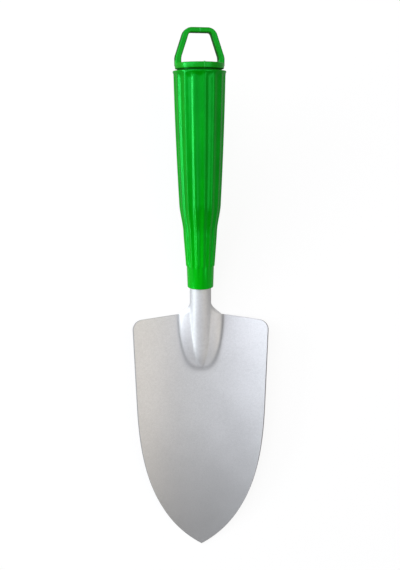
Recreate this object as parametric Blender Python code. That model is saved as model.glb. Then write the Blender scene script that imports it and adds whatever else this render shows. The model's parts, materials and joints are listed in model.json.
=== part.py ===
"""Garden trowel: a pressed steel blade with its rolled neck, a fluted plastic handle and a swivelling hanger.

The trowel lies on its back with the hollow side up. X runs across the blade, the tip points to -Y, the handle
climbs towards +Y, and Z = 0 is the surface that the blade lies on. All lengths are in metres.
"""
import math

import bmesh
import bpy
from mathutils import Matrix, Vector

MM = 0.001

# Fits
CLEARANCE = 0.3 * MM

# Blade, pressed from one sheet together with the neck
SHEET = 1.5 * MM
BLADE_LENGTH = 138.7 * MM
SHOULDER_WIDTH = 80.9 * MM
SIDE_END_WIDTH = 76.0 * MM
SIDE_END = 87.7 * MM
TIP_HALF_ANGLE = math.radians(62.3)
TIP_PULL = 39.0 * MM
SIDE_PULL = 24.0 * MM
SHOULDER_SLOPE = math.radians(8.0)
SHOULDER_CORNER_R = 6.0 * MM
DISH_R = 93.0 * MM

# Boss, where the neck's front wall runs down into the blade over a low mound
BOSS_LENGTH = 33.0 * MM
BOSS_WIDTH = 27.0 * MM
MOUND_HEIGHT = 4.8 * MM
MOUND_POWER = 2.8
WALL_POWER = 6
FILLET_SOFTNESS = 1.8 * MM
CREASE_SOFTNESS = 0.5 * MM

# Neck, rolled from the same sheet to a tube with its seam at the back
CRANK = math.radians(14.5)
NECK_D = 12.7 * MM
SEAM_GAP = 0.7 * MM
FLARE_WIDTH = 24.4 * MM
FLARE_LENGTH = 5.4 * MM
FLARE_POWER = 1.7
BACK_OPENING = 7.0 * MM
NECK_SHOWN = 10.0 * MM
TANG_LENGTH = 58.0 * MM

# Handle, one moulding
HANDLE_LENGTH = 122.05 * MM
RIM_D = 29.4 * MM
GRIP_TOP_D = 29.0 * MM
GRIP_LOW_D = 24.4 * MM
GRIP_LOW_AT = 51.0 * MM
GRIP_CROWN = 0.3 * MM
WAIST_D = 19.8 * MM
WAIST_AT = 32.0 * MM
FLUTES_END_D = 17.1 * MM
COLLAR_TOP_D = 16.0 * MM
COLLAR_D = 15.3 * MM
COLLAR_LENGTH = 13.3 * MM
FLUTE_RUN_OUT = 0.8 * MM
FLUTES = 16
FLUTE_DEPTH = 0.6 * MM
CREST_POWER = 1.5
RIM_BAND = 1.2 * MM
EDGE_ROUND = 0.4 * MM
HANDLE_WALL = 2.9 * MM
STOP_THICKNESS = 2.4 * MM
STOP_HOLE_D = 8.0 * MM
LIP_HEIGHT = 3.2 * MM
LIP_CATCH = 0.8 * MM

# Hanger, one moulding that turns in the handle's mouth
HANGER_TURN = math.radians(12.0)
STANDOFF = 1.0 * MM
DISC_D = 27.0 * MM
DISC_THICKNESS = 3.1 * MM
DISC_ROUND = 0.5 * MM
SPACER_WIDTH = 2.4 * MM
HUB_WALL = 1.8 * MM
BEAD_CATCH = 0.45 * MM
BEAD_HEIGHT = 1.3 * MM
LEAD_IN = 1.6 * MM
SLOT_WIDTH = 1.8 * MM
LOOP_HEIGHT = 22.35 * MM
LOOP_WIDTH = 27.35 * MM
LOOP_BEND_AT = 6.95 * MM
LOOP_LEAN = math.radians(19.3)
LOOP_THICKNESS = 5.4 * MM
LIMB_WIDTH = 3.3 * MM
BAR_WIDTH = 2.7 * MM
LOOP_CORNER_R = 5.5 * MM
EYE_CORNER_R = 1.7 * MM
LOOP_CHAMFER = 0.6 * MM

# How finely the round shapes are cut into flat faces
BOSS_COLUMNS = 12
SIDE_COLUMNS = 10
BLADE_ROWS = 26
END_CROWDING = 0.09
HAT_STEPS = 96
OUTLINE_STEPS = 40
FLARE_ROWS = 5
CLOSING_ROWS = 3
TANG_ROWS = 3
GRIP_ROWS = 4
COLUMNS_PER_FLUTE = 6
TURNED_SEGMENTS = 64
ARC_STEPS = 5

# Sizes that follow from the ones above
NECK_MID_R = (NECK_D - SHEET) / 2
BOSS_HEIGHT = BOSS_LENGTH * math.tan(CRANK)
BOSS_FOOT = BLADE_LENGTH - BOSS_LENGTH
NECK_HALF_ANGLE = math.pi - SEAM_GAP / (2 * NECK_MID_R)
TUBE_START = FLARE_LENGTH / math.cos(CRANK)
HANDLE_START = TUBE_START + NECK_SHOWN
BORE_R = NECK_D / 2 + CLEARANCE
STOP_AT = TANG_LENGTH + CLEARANCE
MOUTH_R = GRIP_TOP_D / 2 - FLUTE_DEPTH - HANDLE_WALL
LIP_R = MOUTH_R - LIP_CATCH
HUB_R = LIP_R - CLEARANCE
DISC_TOP = STANDOFF + DISC_THICKNESS
BOSS_SHARES = [i / BOSS_COLUMNS for i in range(BOSS_COLUMNS + 1)]


def soft_highest(one, other, softness):
    """The higher of two heights, with a fillet where they meet."""
    return (one + other + math.sqrt((one - other) ** 2 + softness ** 2)) / 2


def sheet_height(x, along):
    """Height of the sheet's middle: the blade's hollow, with the mound and the neck's wall standing on it.

    The fillet between mound and wall runs out at the boss's foot, so that the foot keeps its round end.
    """
    dish = DISH_R - math.sqrt(DISH_R ** 2 - x ** 2)
    far = (along - BOSS_FOOT) / BOSS_LENGTH
    mound = MOUND_HEIGHT * (far - abs(x / (BOSS_WIDTH / 2)) ** MOUND_POWER / (2 - far))
    across = x / NECK_MID_R
    wall = BOSS_HEIGHT * far - NECK_MID_R * (across ** 2 + across ** WALL_POWER) / 2
    raised = soft_highest(mound, wall, FILLET_SOFTNESS * far)
    return SHEET / 2 + dish + soft_highest(raised, 0.0, CREASE_SOFTNESS)


# The neck's axis starts square below the crest at the shoulders, and climbs at the crank's angle
AXIS = Vector((0.0, math.cos(CRANK), math.sin(CRANK)))
INTO_NECK = Vector((0.0, math.sin(CRANK), -math.cos(CRANK)))
CREST_START = Vector((0.0, BLADE_LENGTH, sheet_height(0.0, BLADE_LENGTH)))
AXIS_START = CREST_START + INTO_NECK * NECK_MID_R
TOP_END = AXIS_START + AXIS * (HANDLE_START + HANDLE_LENGTH + LOOP_HEIGHT)
OVERALL_LENGTH = TOP_END.y + math.sin(CRANK) * (LOOP_THICKNESS / 2 - LOOP_CHAMFER)
TIP_Y = -OVERALL_LENGTH / 2


def clear_scene():
    for thing in list(bpy.data.objects):
        bpy.data.objects.remove(thing, do_unlink=True)


def material(name, colour, roughness, metallic):
    made = bpy.data.materials.new(name)
    made.use_nodes = True
    shader = made.node_tree.nodes["Principled BSDF"]
    shader.inputs["Base Color"].default_value = (*colour, 1.0)
    shader.inputs["Roughness"].default_value = roughness
    shader.inputs["Metallic"].default_value = metallic
    made.diffuse_color = (*colour, 1.0)
    return made


def new_object(name, mesh_builder, finish=None):
    """Turn a finished bmesh into a named object, with its faces pointing out."""
    mesh = bpy.data.meshes.new(name)
    bmesh.ops.recalc_face_normals(mesh_builder, faces=mesh_builder.faces)
    mesh_builder.to_mesh(mesh)
    mesh_builder.free()
    thing = bpy.data.objects.new(name, mesh)
    bpy.context.scene.collection.objects.link(thing)
    if finish:
        mesh.materials.append(finish)
    return thing


def smooth(thing, angle=math.radians(35.0)):
    thing.data.shade_smooth()
    thing.data.set_sharp_from_angle(angle=angle)


def as_cutter(thing):
    thing.hide_render = True
    thing.display_type = "WIRE"
    return thing


def boolean(target, other, operation):
    step = target.modifiers.new(other.name, "BOOLEAN")
    step.operation = operation
    step.solver = "EXACT"
    step.object = other


def loft(rings):
    """Skin a stack of rings, each a list of as many points; a ring of one point is a pole."""
    built = bmesh.new()
    rows = [[built.verts.new(point) for point in ring] for ring in rings]
    for lower, upper in zip(rows, rows[1:]):
        count = max(len(lower), len(upper))
        for i in range(count):
            after = (i + 1) % count
            corners = []
            for vert in (lower[i % len(lower)], lower[after % len(lower)],
                         upper[after % len(upper)], upper[i % len(upper)]):
                if vert not in corners:
                    corners.append(vert)
            built.faces.new(corners)
    for row in (rows[0], rows[-1]):
        if len(row) > 1:
            built.faces.new(row)
    return built


def turned(profile, segments=TURNED_SEGMENTS):
    """Turn a profile of (radius, height) points, bottom to top, about the local Z axis."""
    rings = []
    for radius, height in profile:
        if radius == 0.0:
            rings.append([(0.0, 0.0, height)])
            continue
        turns = [2 * math.pi * i / segments for i in range(segments)]
        rings.append([(radius * math.cos(a), radius * math.sin(a), height) for a in turns])
    return loft(rings)


def between(low, high, share):
    return low + (high - low) * share


def ease(share):
    """A smooth step from 0 to 1."""
    share = min(max(share, 0.0), 1.0)
    return share * share * (3 - 2 * share)


# Outline of the blade, right half, as points (x, distance from the tip)

def bezier(points, share):
    rest = 1 - share
    weights = (rest ** 3, 3 * rest ** 2 * share, 3 * rest * share ** 2, share ** 3)
    return sum((p * w for p, w in zip(points, weights)), Vector((0.0, 0.0)))


def line_crossing(start, way, other, other_way):
    gap = other - start
    cross = way.x * other_way.y - way.y * other_way.x
    return start + way * ((gap.x * other_way.y - gap.y * other_way.x) / cross)


def arc_between(start, corner, end, share):
    """A point of the round that touches both lines of a corner; the tangent points are start and end."""
    way_in = (corner - start).normalized()
    way_out = (end - corner).normalized()
    bend = way_in.angle(way_out)
    radius = (corner - start).length / math.tan(bend / 2)
    side = Vector((-way_in.y, way_in.x))
    centre = start + side * radius
    angle = bend * share
    return centre - side * radius * math.cos(angle) + way_in * radius * math.sin(angle)


def lower_curve():
    """Control points of the curved edge from the tip to where the straight side begins."""
    side_end = Vector((SIDE_END_WIDTH / 2, SIDE_END))
    side_way = (Vector((SHOULDER_WIDTH / 2, BLADE_LENGTH)) - side_end).normalized()
    tip = Vector((0.0, 0.0))
    tip_way = Vector((math.sin(TIP_HALF_ANGLE), math.cos(TIP_HALF_ANGLE)))
    return [tip, tip + tip_way * TIP_PULL, side_end - side_way * SIDE_PULL, side_end]


def outline_runs():
    """The edge in three runs, for the bottom, the right side and the top of the half blade's grid."""
    curve = lower_curve()
    shares = [i / OUTLINE_STEPS for i in range(OUTLINE_STEPS + 1)]
    bottom = [bezier(curve, share / 2) for share in shares]
    right = [bezier(curve, (1 + share) / 2) for share in shares]
    side_way = (curve[3] - curve[2]).normalized()
    neck_corner = Vector((FLARE_WIDTH / 2, BLADE_LENGTH))
    shoulder_way = Vector((math.cos(SHOULDER_SLOPE), -math.sin(SHOULDER_SLOPE)))
    corner = line_crossing(curve[3], side_way, neck_corner, shoulder_way)
    bend = side_way.angle(-shoulder_way)
    reach = SHOULDER_CORNER_R * math.tan(bend / 2)
    start = corner - side_way * reach
    end = corner - shoulder_way * reach
    arc = [arc_between(start, corner, end, i / (2 * ARC_STEPS)) for i in range(2 * ARC_STEPS + 1)]
    right += arc[:ARC_STEPS + 1]
    top = [neck_corner] + arc[:ARC_STEPS - 1:-1]
    return bottom, right, top


def spaced(points, shares):
    """Points along a polyline at the given shares of its length."""
    lengths = [(b - a).length for a, b in zip(points, points[1:])]
    total = sum(lengths)
    found = []
    for share in shares:
        left = share * total
        for a, b, length in zip(points, points[1:], lengths):
            if left <= length or b is points[-1]:
                found.append(a.lerp(b, min(left / length, 1.0) if length else 0.0))
                break
            left -= length
    return found


def crowded(count):
    """Shares from 0 to 1 that lie closer together near both ends."""
    even = [i / count for i in range(count + 1)]
    return [share - END_CROWDING * math.sin(2 * math.pi * share) for share in even]


def hat_section():
    """The boss's section at the shoulders, right half, as evenly spaced points."""
    across = [FLARE_WIDTH / 2 * i / HAT_STEPS for i in range(HAT_STEPS + 1)]
    fine = [Vector((x, BLADE_LENGTH, sheet_height(x, BLADE_LENGTH))) for x in across]
    return spaced(fine, BOSS_SHARES)


def blade_grid():
    """Rows of points from the tip's edge to the shoulders, right half, with the boss's columns first."""
    bottom, right, top = outline_runs()
    top_row = [Vector((point.x, point.y)) for point in hat_section()]
    top_row += spaced(top, crowded(SIDE_COLUMNS)[1:])
    steps = [(b - a).length for a, b in zip(top_row, top_row[1:])]
    across = [sum(steps[:i]) / sum(steps) for i in range(len(top_row))]
    up = crowded(BLADE_ROWS)
    bottom_row = spaced(bottom, across)
    right_column = spaced(right, up)
    middle_column = [Vector((0.0, BLADE_LENGTH * share)) for share in up]
    corners = (bottom_row[0], bottom_row[-1], top_row[0], top_row[-1])
    grid = []
    for j, t in enumerate(up):
        row = []
        for i, e in enumerate(across):
            ruled = bottom_row[i].lerp(top_row[i], t) + middle_column[j].lerp(right_column[j], e)
            flat = corners[0].lerp(corners[1], e).lerp(corners[2].lerp(corners[3], e), t)
            row.append(ruled - flat)
        grid.append(row)
    return grid


def tube_section(climb, half_angle, crowding):
    """Right half of a section of the neck's tube, from its front to half_angle round it.

    A crowding above 1 moves the points towards the section's end.
    """
    centre = AXIS_START + AXIS * climb
    angles = [half_angle * (1 - (1 - share) ** crowding) for share in BOSS_SHARES]
    return [centre + (Vector((math.sin(a), 0.0, 0.0)) - INTO_NECK * math.cos(a)) * NECK_MID_R for a in angles]


def neck_sections(hat):
    """Sections past the shoulders: the flare down to a half tube, the tube closing behind, and the tang.

    In the flare the boss's section draws in to the half tube, quickly at first, its round top with as long steps as
    before.
    """
    length = sum((after - before).length for before, after in zip(hat, hat[1:]))
    crowding = length / (NECK_MID_R * math.pi / 2)
    half_tube = tube_section(TUBE_START, math.pi / 2, crowding)
    flared = [point + AXIS * TUBE_START for point in hat]
    sections = []
    for j in range(FLARE_ROWS):
        share = (j + 1) / FLARE_ROWS
        narrowing = 1 - (1 - share) ** FLARE_POWER
        back = AXIS * TUBE_START * (1 - share)
        sections.append([wide.lerp(round_, narrowing) - back for wide, round_ in zip(flared, half_tube)])
    for j in range(CLOSING_ROWS):
        share = (j + 1) / CLOSING_ROWS
        half_angle = between(math.pi / 2, NECK_HALF_ANGLE, share)
        sections.append(tube_section(TUBE_START + BACK_OPENING * share, half_angle, between(crowding, 1.0, share)))
    for j in range(TANG_ROWS):
        climb = between(TUBE_START + BACK_OPENING, HANDLE_START + TANG_LENGTH, (j + 1) / TANG_ROWS)
        sections.append(tube_section(climb, NECK_HALF_ANGLE, 1.0))
    return sections


def mirrored(points):
    """A row over the whole width from its right half, whose first point lies on the middle."""
    return [Vector((-p.x, p.y, p.z)) for p in points[:0:-1]] + points


def make_blade(finish):
    """Blade, boss, neck and tang as one sheet, given its thickness at the end."""
    half_rows = [[Vector((p.x, p.y, sheet_height(p.x, p.y))) for p in row] for row in blade_grid()]
    built = bmesh.new()
    rows = [[built.verts.new(point) for point in mirrored(row)] for row in half_rows]
    middle = len(half_rows[-1]) - 1
    strip = [rows[-1][middle - BOSS_COLUMNS:middle + BOSS_COLUMNS + 1]]
    strip += [[built.verts.new(point) for point in mirrored(section)] for section in neck_sections(hat_section())]
    for stack in (rows, strip):
        for lower, upper in zip(stack, stack[1:]):
            for i in range(len(lower) - 1):
                built.faces.new((lower[i], lower[i + 1], upper[i + 1], upper[i]))
    blade = new_object("blade", built, finish)
    blade.location.y = TIP_Y
    thicken = blade.modifiers.new("sheet", "SOLIDIFY")
    thicken.thickness = SHEET
    thicken.offset = 0.0
    thicken.use_even_offset = True
    smooth(blade)
    return blade


# Handle

def grip_radius(at):
    """Radius over the flutes' crests at a distance from the handle's lower end."""
    if at >= GRIP_LOW_AT:
        share = (at - GRIP_LOW_AT) / (HANDLE_LENGTH - GRIP_LOW_AT)
        return between(GRIP_LOW_D, GRIP_TOP_D, share) / 2 + GRIP_CROWN * 4 * share * (1 - share)
    if at <= WAIST_AT:
        share = (at - COLLAR_LENGTH) / (WAIST_AT - COLLAR_LENGTH)
        return between(FLUTES_END_D, WAIST_D, share) / 2
    share = (at - WAIST_AT) / (GRIP_LOW_AT - WAIST_AT)
    return between(WAIST_D, GRIP_LOW_D, ease(share)) / 2


def fluted_ring(at, radius, depth):
    columns = FLUTES * COLUMNS_PER_FLUTE
    ring = []
    for i in range(columns):
        angle = 2 * math.pi * i / columns
        crest = (1 - math.cos(FLUTES * (angle + math.pi / 2))) / 2
        reach = radius - depth * (1 - crest ** CREST_POWER)
        ring.append((reach * math.cos(angle), reach * math.sin(angle), at))
    return ring


def make_handle(finish):
    flutes_top = HANDLE_LENGTH - RIM_BAND
    stations = [COLLAR_LENGTH, (COLLAR_LENGTH + WAIST_AT) / 2]
    stations += [between(WAIST_AT, GRIP_LOW_AT, i / GRIP_ROWS) for i in range(GRIP_ROWS + 1)]
    stations += [between(GRIP_LOW_AT, flutes_top, (i + 1) / GRIP_ROWS) for i in range(GRIP_ROWS)]
    rim = RIM_D / 2
    rings = [fluted_ring(0.0, COLLAR_D / 2 - EDGE_ROUND, 0.0), fluted_ring(EDGE_ROUND, COLLAR_D / 2, 0.0)]
    rings.append(fluted_ring(COLLAR_LENGTH - FLUTE_RUN_OUT, COLLAR_TOP_D / 2, 0.0))
    rings += [fluted_ring(at, grip_radius(at), FLUTE_DEPTH) for at in stations]
    rings.append(fluted_ring(flutes_top + EDGE_ROUND, rim, 0.0))
    rings.append(fluted_ring(HANDLE_LENGTH - EDGE_ROUND, rim, 0.0))
    rings.append(fluted_ring(HANDLE_LENGTH, rim - EDGE_ROUND, 0.0))
    handle = new_object("handle", loft(rings), finish)
    cavity_low = grip_radius(STOP_AT + STOP_THICKNESS) - FLUTE_DEPTH - HANDLE_WALL
    past = 2 * CLEARANCE
    profile = [
        (0.0, -past),
        (BORE_R, -past),
        (BORE_R, STOP_AT),
        (STOP_HOLE_D / 2, STOP_AT),
        (STOP_HOLE_D / 2, STOP_AT + STOP_THICKNESS),
        (cavity_low, STOP_AT + STOP_THICKNESS),
        (MOUTH_R, HANDLE_LENGTH - LIP_HEIGHT - LIP_CATCH),
        (LIP_R, HANDLE_LENGTH - LIP_HEIGHT),
        (LIP_R, HANDLE_LENGTH + past),
        (0.0, HANDLE_LENGTH + past),
    ]
    hollow = as_cutter(new_object("handle_hollow", turned(profile, TURNED_SEGMENTS // 2)))
    boolean(handle, hollow, "DIFFERENCE")
    smooth(handle)
    hollow.parent = handle
    return handle


# Hanger

def loop_outline(half_width, top, corner_r, foot):
    """Right half of one edge of the loop, from the foot up and over to the middle of the bar."""
    bend = Vector((half_width, LOOP_BEND_AT))
    lean = Vector((-math.sin(LOOP_LEAN), math.cos(LOOP_LEAN)))
    corner = line_crossing(bend, lean, Vector((0.0, top)), Vector((-1.0, 0.0)))
    turn = lean.angle(Vector((-1.0, 0.0)))
    reach = corner_r * math.tan(turn / 2)
    start = corner - lean * reach
    end = corner - Vector((reach, 0.0))
    points = [Vector((half_width, foot)), bend]
    points += [arc_between(start, corner, end, i / ARC_STEPS) for i in range(ARC_STEPS + 1)]
    return points


def make_loop():
    """The loop as one chamfered strap, its feet sunk into the disc."""
    foot = STANDOFF + DISC_THICKNESS / 2
    outer = loop_outline(LOOP_WIDTH / 2, LOOP_HEIGHT, LOOP_CORNER_R, foot)
    inner = loop_outline(LOOP_WIDTH / 2 - LIMB_WIDTH, LOOP_HEIGHT - BAR_WIDTH, EYE_CORNER_R, foot)
    front = LOOP_THICKNESS / 2
    sections = []
    pairs = list(zip(outer, inner))
    pairs += [(Vector((-o.x, o.y)), Vector((-i.x, i.y))) for o, i in reversed(pairs)]
    for o, i in pairs:
        way = (i - o).normalized() * LOOP_CHAMFER
        corners = [(o, front - LOOP_CHAMFER), (o + way, front), (i - way, front), (i, front - LOOP_CHAMFER)]
        corners += [(point, -depth) for point, depth in reversed(corners)]
        sections.append([(point.x, depth, point.y) for point, depth in corners])
    return new_object("hanger_loop", loft(sections))


def make_hanger(finish):
    bead_top = -(LIP_HEIGHT + LIP_CATCH)
    bead_r = LIP_R + BEAD_CATCH
    bead_low = bead_top - BEAD_HEIGHT
    end = bead_low - LEAD_IN
    disc_r = DISC_D / 2
    profile = [
        (0.0, STANDOFF),
        (HUB_R - HUB_WALL, STANDOFF),
        (HUB_R - HUB_WALL, end),
        (HUB_R - CLEARANCE, end),
        (bead_r, bead_low),
        (bead_r, bead_top),
        (HUB_R, bead_top + BEAD_CATCH),
        (HUB_R, CLEARANCE),
        (HUB_R + SPACER_WIDTH, CLEARANCE),
        (HUB_R + SPACER_WIDTH, STANDOFF),
        (disc_r - DISC_ROUND, STANDOFF),
        (disc_r, STANDOFF + DISC_ROUND),
        (disc_r, DISC_TOP - DISC_ROUND),
        (disc_r - DISC_ROUND, DISC_TOP),
        (0.0, DISC_TOP),
    ]
    hanger = new_object("hanger", turned(profile), finish)
    loop = as_cutter(make_loop())
    boolean(hanger, loop, "UNION")
    reach = bead_r + CLEARANCE
    slot_top = -CLEARANCE
    slot_low = end - CLEARANCE
    for number in range(2):
        box = bmesh.new()
        bmesh.ops.create_cube(box, size=1.0)
        size = Matrix.Diagonal((2 * reach, SLOT_WIDTH, slot_top - slot_low, 1.0))
        place = Matrix.Translation((0.0, 0.0, (slot_top + slot_low) / 2))
        turn = Matrix.Rotation(math.pi / 4 + number * math.pi / 2, 4, "Z")
        bmesh.ops.transform(box, matrix=turn @ place @ size, verts=box.verts)
        slot = as_cutter(new_object(f"hanger_slot_{number + 1}", box))
        boolean(hanger, slot, "DIFFERENCE")
        slot.parent = hanger
    smooth(hanger)
    loop.parent = hanger
    return hanger


def main():
    clear_scene()
    silver = material("silver_paint", (0.60, 0.61, 0.63), 0.42, 0.75)
    grip_green = material("green_grip_plastic", (0.006, 0.30, 0.012), 0.30, 0.0)
    hanger_green = material("green_hanger_plastic", (0.008, 0.28, 0.014), 0.36, 0.0)
    make_blade(silver)
    axis = bpy.data.objects.new("handle_axis", None)
    bpy.context.scene.collection.objects.link(axis)
    axis.location = AXIS_START + Vector((0.0, TIP_Y, 0.0))
    axis.rotation_euler = (CRANK - math.pi / 2, 0.0, 0.0)
    handle = make_handle(grip_green)
    handle.parent = axis
    handle.location.z = HANDLE_START
    hanger = make_hanger(hanger_green)
    hanger.parent = axis
    hanger.location.z = HANDLE_START + HANDLE_LENGTH
    hanger.rotation_euler.z = HANGER_TURN


main()
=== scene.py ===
# %% [markdown]
# A garden trowel, seen from straight above
#
# The trowel is three real pieces: a pressed steel blade whose neck is rolled from the same sheet, a fluted
# plastic handle, and a plastic hanger that turns in the handle's mouth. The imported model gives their
# places. Here each piece gets its fine surface and its finish. Lengths are in metres, the tip points to -Y
# and Z = 0 is the floor.

import json
import math

import bmesh
import bpy
from mathutils import Matrix, Vector


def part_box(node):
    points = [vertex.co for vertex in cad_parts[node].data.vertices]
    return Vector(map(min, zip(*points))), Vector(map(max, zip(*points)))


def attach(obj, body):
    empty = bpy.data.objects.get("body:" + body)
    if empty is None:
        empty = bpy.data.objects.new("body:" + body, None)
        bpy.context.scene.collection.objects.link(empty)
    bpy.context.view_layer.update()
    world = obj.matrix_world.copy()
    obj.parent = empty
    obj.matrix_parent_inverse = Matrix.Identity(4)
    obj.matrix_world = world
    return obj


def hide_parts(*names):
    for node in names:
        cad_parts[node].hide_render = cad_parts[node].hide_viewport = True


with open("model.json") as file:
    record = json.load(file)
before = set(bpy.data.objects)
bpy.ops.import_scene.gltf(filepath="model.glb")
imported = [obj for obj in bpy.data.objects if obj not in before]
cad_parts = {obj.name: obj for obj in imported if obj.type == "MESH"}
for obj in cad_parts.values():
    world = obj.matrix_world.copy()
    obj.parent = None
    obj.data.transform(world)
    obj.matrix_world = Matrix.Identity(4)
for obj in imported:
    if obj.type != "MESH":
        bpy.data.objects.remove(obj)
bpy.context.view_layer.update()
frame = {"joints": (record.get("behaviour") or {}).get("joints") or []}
MM = 0.001

# %% [markdown]
# Where things are
#
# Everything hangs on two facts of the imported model: where the blade's tip is, and where the hanger's hinge
# is. The hinge sits in the middle of the handle's upper end, and its axis is the axis of the handle and of
# the neck. Reading them from the frame keeps the fine surfaces on the solids, with no fitting by eye.

# %% The trowel's axis
hinge = frame["joints"][0]
AXIS = Vector(hinge["axis"]).normalized()
MOUTH = Vector(hinge["pos_m"])
TIP_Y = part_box("blade")[0].y
CRANK = math.asin(AXIS.z)
INTO_NECK = Vector((0.0, math.sin(CRANK), -math.cos(CRANK)))
print("crank in degrees:", round(math.degrees(CRANK), 2))


def on_axis(from_mouth, turn=0.0):
    """A placing matrix: local Z along the handle, starting at a distance from the handle's mouth."""
    tilt = Matrix.Rotation(CRANK - math.pi / 2, 4, "X")
    return Matrix.Translation(MOUTH + AXIS * from_mouth) @ tilt @ Matrix.Rotation(turn, 4, "Z")


# %% [markdown]
# Small helpers for shapes
#
# A few short functions are enough for every shape here: one mixes two values, one makes a smooth step, one
# rounds a corner, two walk along a line, and the last ones make an object, which sits at the origin with
# its place in its mesh, and turn its live modifiers into plain faces.

# %% Shape helpers
def between(low, high, share):
    """The value at a share of the way from low to high."""
    return low + (high - low) * share


def ease(share):
    """A smooth step from 0 to 1."""
    share = min(max(share, 0.0), 1.0)
    return share * share * (3 - 2 * share)


def rounded(before, corner, after, radius, steps):
    """The round of a given radius at a polyline's corner, as points from one tangent point to the other."""
    way_in = (corner - before).normalized()
    way_out = (after - corner).normalized()
    bend = way_in.angle(way_out)
    start = corner - way_in * radius * math.tan(bend / 2)
    side = Vector((-way_in.y, way_in.x))
    if side.dot(way_out) < 0:
        side = -side
    centre = start + side * radius
    angles = [bend * i / steps for i in range(steps + 1)]
    return [centre - side * radius * math.cos(a) + way_in * radius * math.sin(a) for a in angles]


def spaced(points, shares):
    """Points along a polyline at the given rising shares of its length."""
    ends = [0.0]
    for before, after in zip(points, points[1:]):
        ends.append(ends[-1] + (after - before).length)
    found = []
    i = 0
    for share in shares:
        at = share * ends[-1]
        while i < len(points) - 2 and ends[i + 1] < at:
            i += 1
        found.append(points[i].lerp(points[i + 1], min((at - ends[i]) / (ends[i + 1] - ends[i]), 1.0)))
    return found


def length_of(points):
    """The length of a polyline."""
    return sum((after - before).length for before, after in zip(points, points[1:]))


def new_piece(name, data):
    """An object at the origin that holds the given mesh, lamp or camera."""
    piece = bpy.data.objects.new(name, data)
    bpy.context.scene.collection.objects.link(piece)
    return piece


def mesh_of(name, built):
    """A mesh with the faces that were built."""
    mesh = bpy.data.meshes.new(name)
    built.to_mesh(mesh)
    built.free()
    return mesh


def volume_of(mesh):
    """Enclosed volume in cubic millimetres; it is negative where the faces point inwards."""
    built = bmesh.new()
    built.from_mesh(mesh)
    volume = built.calc_volume(signed=True) / MM ** 3
    built.free()
    return volume


def make_plain(piece):
    """Replace a piece's live modifiers by the mesh that they give, and report it."""
    graph = bpy.context.evaluated_depsgraph_get()
    mesh = bpy.data.meshes.new_from_object(piece.evaluated_get(graph))
    piece.modifiers.clear()
    piece.data = mesh
    mesh.name = piece.name
    mesh.calc_loop_triangles()
    print(piece.name, "has", len(mesh.loop_triangles), "triangles and", round(volume_of(mesh)), "cubic mm")


# %% [markdown]
# Arithmetic on sockets
#
# Shader and geometry trees are full of small sums. Written as nodes they are hard to read, so one class
# wraps an output socket and lets Python's own signs add the Math nodes. Any other node comes from one
# function, which sets the node's own settings first and then the values or links of its inputs. Another
# splits a vector into its numbers.

# %% The socket class
class Wire:
    """An output socket that takes part in Python arithmetic."""

    def __init__(self, tree, socket):
        self.tree = tree
        self.socket = socket

    def math(self, operation, *others):
        """Add a Math node that this wire and the others lead into."""
        return make(self.tree, "ShaderNodeMath", {"operation": operation}, dict(enumerate((self, *others))))

    def __add__(self, other):
        return self.math("ADD", other)

    def __radd__(self, other):
        return self.math("ADD", other)

    def __sub__(self, other):
        return self.math("SUBTRACT", other)

    def __rsub__(self, other):
        return self * -1.0 + other

    def __mul__(self, other):
        return self.math("MULTIPLY", other)

    def __rmul__(self, other):
        return self.math("MULTIPLY", other)

    def __pow__(self, other):
        return self.math("POWER", other)

    def step(self, low, high):
        """A smooth step from 0 at low to 1 at high."""
        limits = {"Value": self, "From Min": low, "From Max": high}
        return make(self.tree, "ShaderNodeMapRange", {"interpolation_type": "SMOOTHSTEP"}, limits)


def make(tree, kind, settings=None, inputs=None, output=0):
    """Add a node, set its settings, then its inputs by name or number, and give one of its outputs."""
    node = tree.nodes.new(kind)
    for name, value in (settings or {}).items():
        setattr(node, name, value)
    for name, value in (inputs or {}).items():
        if isinstance(value, Wire):
            tree.links.new(value.socket, node.inputs[name])
        else:
            node.inputs[name].default_value = value
    return Wire(tree, node.outputs[output]) if node.outputs else None


def split(tree, vector):
    """A vector's three numbers."""
    node = make(tree, "ShaderNodeSeparateXYZ", {}, {"Vector": vector}).socket.node
    return [Wire(tree, output) for output in node.outputs]


# %% [markdown]
# The camera
#
# The photograph looks straight down on the hollow side of the blade, with the tip at the bottom of the
# picture. The handle climbs towards the lens, so perspective matters: the lens is close, and its distance
# and focal length are the ones at which the drawn lengths of blade and handle agree with one straight
# trowel. The trowel doesn't lie quite square in the picture, so the camera has a trace of roll.

# %% Camera
CAMERA_HEIGHT = 0.396
CAMERA_FROM_TIP = 0.1561
CAMERA_ASIDE = -0.25 * MM
CAMERA_ROLL = -0.0047
FOCAL_LENGTH = 41.2
SENSOR = 36.0

lens = bpy.data.cameras.new("camera")
lens.lens = FOCAL_LENGTH
lens.sensor_width = SENSOR
lens.clip_start = 10 * MM
camera = new_piece("camera", lens)
camera.location = (CAMERA_ASIDE, TIP_Y + CAMERA_FROM_TIP, CAMERA_HEIGHT)
camera.rotation_euler.z = CAMERA_ROLL
bpy.context.scene.camera = camera
bpy.context.scene.view_settings.view_transform = "Standard"
print("the camera sees", round(CAMERA_HEIGHT * SENSOR / FOCAL_LENGTH / MM), "mm of floor along the trowel")

# %% [markdown]
# Floor and world
#
# The photograph has a plain white ground. A lamp that is bright enough to make a floor white would bleach
# the trowel, so the floor is an ordinary grey one for light that bounces, and the camera's own rays get
# most of its white from emission. The rest is diffuse, so the trowel's soft shadow stays. Gloss shows the
# same ground at three tenths of its strength, because in the photograph the trowel's edges are dark, not
# lost in white. The floor is a round sheet that sweeps up into a low wall, so it is behind the trowel from
# every side, while the dim world stays open overhead: a white sky would lie on the dark green gloss like
# haze.

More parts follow.
